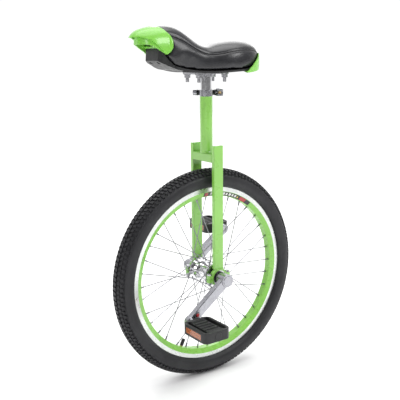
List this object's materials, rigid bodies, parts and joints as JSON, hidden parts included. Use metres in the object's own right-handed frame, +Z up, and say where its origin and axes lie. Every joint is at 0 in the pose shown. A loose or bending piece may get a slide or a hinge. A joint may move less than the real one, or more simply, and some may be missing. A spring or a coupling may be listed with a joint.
{
  "type": "unicycle",
  "caption": "Single-wheel pedal cycle: knobbly tyre on a laced rim, flat-leg fork, square cranks with cage pedals, and a curved saddle on a quick-release post.",
  "frame": {"origin": "on the ground under the axle, at the middle of the wheel", "axes": "+X forward, +Y to the rider's left along the axle, +Z up"},
  "size_m": [0.506, 0.3594, 0.8209],
  "materials": {
    "frame_green": "gloss enamel",
    "rim_metal": "polished sides, green enamel middle",
    "chrome": "bright plated",
    "steel": "zinc plated",
    "alloy": "satin silver",
    "bearing_steel": "ground",
    "tyre_rubber": "moulded",
    "soft_rubber": "plain",
    "black_plastic": "moulded",
    "green_plastic": "moulded gloss",
    "amber": "ribbed lens",
    "vinyl": "smooth vinyl over foam",
    "brass": "plain"
  },
  "bodies": {
    "fork": {"neck_tube": "frame_green", "neck_weld": "frame_green", "crown_bar": "frame_green", "left_leg": "frame_green", "right_leg": "frame_green", "leg_plugs": "green_plastic", "left_bearing_holder": "frame_green", "right_bearing_holder": "frame_green", "left_bearing_cap": "frame_green", "right_bearing_cap": "frame_green", "bearing_cap_bolts": "steel", "bearing_cap_nuts": "steel", "bearing_outer_rings": "bearing_steel", "bearing_seals": "soft_rubber", "seat_clamp": "alloy", "clamp_skewer": "steel", "clamp_nut": "alloy", "clamp_washers": "black_plastic", "lever_pivot": "brass"},
    "wheel": {"hub_shell": "chrome", "axle": "steel", "bearing_inner_rings": "bearing_steel", "bearing_balls": "bearing_steel", "left_spokes": "steel", "right_spokes": "steel", "spoke_nipples": "chrome", "rim": "rim_metal", "rim_tape": "soft_rubber", "inner_tube": "soft_rubber", "valve_stem": "brass", "valve_cap": "black_plastic", "tyre": "tyre_rubber", "left_crank": "alloy", "right_crank": "alloy", "crank_bolts": "steel", "crank_caps": "alloy", "pedal_spindles": "steel"},
    "left_pedal": {"left_pedal_body": "black_plastic", "left_pedal_reflectors": "amber", "left_pedal_cap": "black_plastic", "left_pedal_bushes": "brass"},
    "right_pedal": {"right_pedal_body": "black_plastic", "right_pedal_reflectors": "amber", "right_pedal_cap": "black_plastic", "right_pedal_bushes": "brass"},
    "seat": {"seat_post": "chrome", "saddle_bracket": "steel", "saddle_base": "black_plastic", "saddle_cushion": "vinyl", "front_bumper": "green_plastic", "rear_bumper": "green_plastic", "front_bumper_screws": "steel", "saddle_bolts": "steel", "saddle_washers": "steel", "saddle_nuts": "steel"},
    "lever": {"clamp_lever": "alloy"}
  },
  "joints": [
    {"name": "wheel_spin", "type": "hinge", "parent": "fork", "child": "wheel", "pos_m": [0, 0, 0.253], "axis": [0, 1, 0], "continuous": true},
    {"name": "left_pedal_spin", "type": "hinge", "parent": "wheel", "child": "left_pedal", "pos_m": [0.10008, 0.135, 0.17481], "axis": [0, 1, 0], "continuous": true},
    {"name": "right_pedal_spin", "type": "hinge", "parent": "wheel", "child": "right_pedal", "pos_m": [-0.10008, -0.135, 0.33119], "axis": [0, 1, 0], "continuous": true},
    {"name": "seat_height", "type": "slide", "parent": "fork", "child": "seat", "axis": [0, 0, 1], "range_m": [-0.005, 0.065]},
    {"name": "clamp_lever_swing", "type": "hinge", "parent": "fork", "child": "lever", "pos_m": [-0.03662, 0.00032, 0.676], "axis": [0, 0, -1], "range_deg": [0, 165]}
  ]
}
